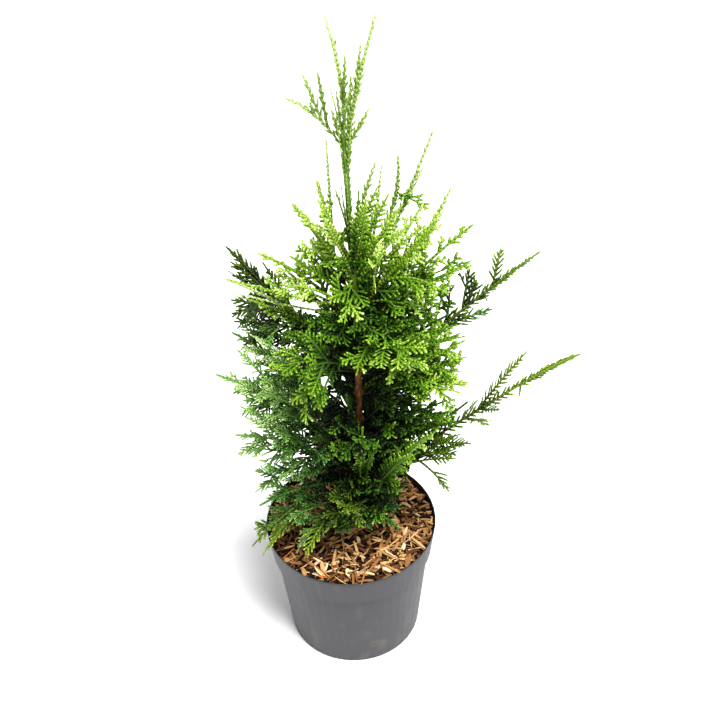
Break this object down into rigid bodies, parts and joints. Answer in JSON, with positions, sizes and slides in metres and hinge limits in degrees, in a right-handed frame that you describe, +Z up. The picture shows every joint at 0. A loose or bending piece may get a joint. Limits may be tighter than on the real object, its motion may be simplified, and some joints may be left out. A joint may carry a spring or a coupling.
{
  "type": "potted thuja",
  "caption": "Young thuja with a forked leader, upswept boughs and flat scaly sprays, standing in a round plastic nursery pot topped with bark-chip mulch.",
  "frame": {"origin": "centre of the pot's flat underside, on the surface it stands on", "axes": "+Z up along the pot's axis; +X towards the side with the longest low bough; -Y towards the side seen first"},
  "size_m": [0.3315, 0.181, 0.7319],
  "materials": {
    "pot_plastic": "satin moulded plastic, dusty",
    "soil": "dark moist potting soil",
    "mulch": "dry shredded bark and wood chips",
    "bark": "thin stringy reddish bark",
    "foliage": "waxy scale leaves in flat sprays"
  },
  "bodies": {
    "root": {"bough_back_left_low": "bark", "bough_back_left_middle": "bark", "bough_back_right_low": "bark", "bough_back_right_middle": "bark", "bough_crown_back_right": "bark", "bough_dark_left": "bark", "bough_front_left_low": "bark", "bough_front_left_middle": "bark", "bough_front_low": "bark", "bough_front_middle": "bark", "bough_front_right_low": "bark", "bough_front_right_middle": "bark", "bough_left_droop": "bark", "bough_left_high_droop": "bark", "bough_left_low": "bark", "bough_left_middle": "bark", "bough_long_right_low": "bark", "bough_long_right_upper": "bark", "bough_right_low": "bark", "bough_right_middle": "bark", "bough_thin_left": "bark", "bough_upper_left": "bark", "bough_upper_right": "bark", "foliage_back_left_low": "foliage", "foliage_back_left_middle": "foliage", "foliage_back_right_low": "foliage", "foliage_back_right_middle": "foliage", "foliage_crown_back": "foliage", "foliage_crown_back_right": "foliage", "foliage_crown_front": "foliage", "foliage_crown_front_right": "foliage", "foliage_crown_left": "foliage", "foliage_crown_left_inner": "foliage", "foliage_crown_right": "foliage", "foliage_crown_right_inner": "foliage", "foliage_dark_left": "foliage", "foliage_front_left_low": "foliage", "foliage_front_left_middle": "foliage", "foliage_front_low": "foliage", "foliage_front_middle": "foliage", "foliage_front_right_low": "foliage", "foliage_front_right_middle": "foliage", "foliage_leader_left": "foliage", "foliage_leader_right": "foliage", "foliage_leader_side_spray": "foliage", "foliage_left_droop": "foliage", "foliage_left_high_droop": "foliage", "foliage_left_low": "foliage", "foliage_left_middle": "foliage", "foliage_long_right_low": "foliage", "foliage_long_right_upper": "foliage", "foliage_right_low": "foliage", "foliage_right_middle": "foliage", "foliage_thin_left": "foliage", "foliage_upper_left": "foliage", "foliage_upper_right": "foliage", "mulch": "mulch", "pot": "pot_plastic", "soil": "soil", "trunk": "bark"}
  },
  "joints": []
}
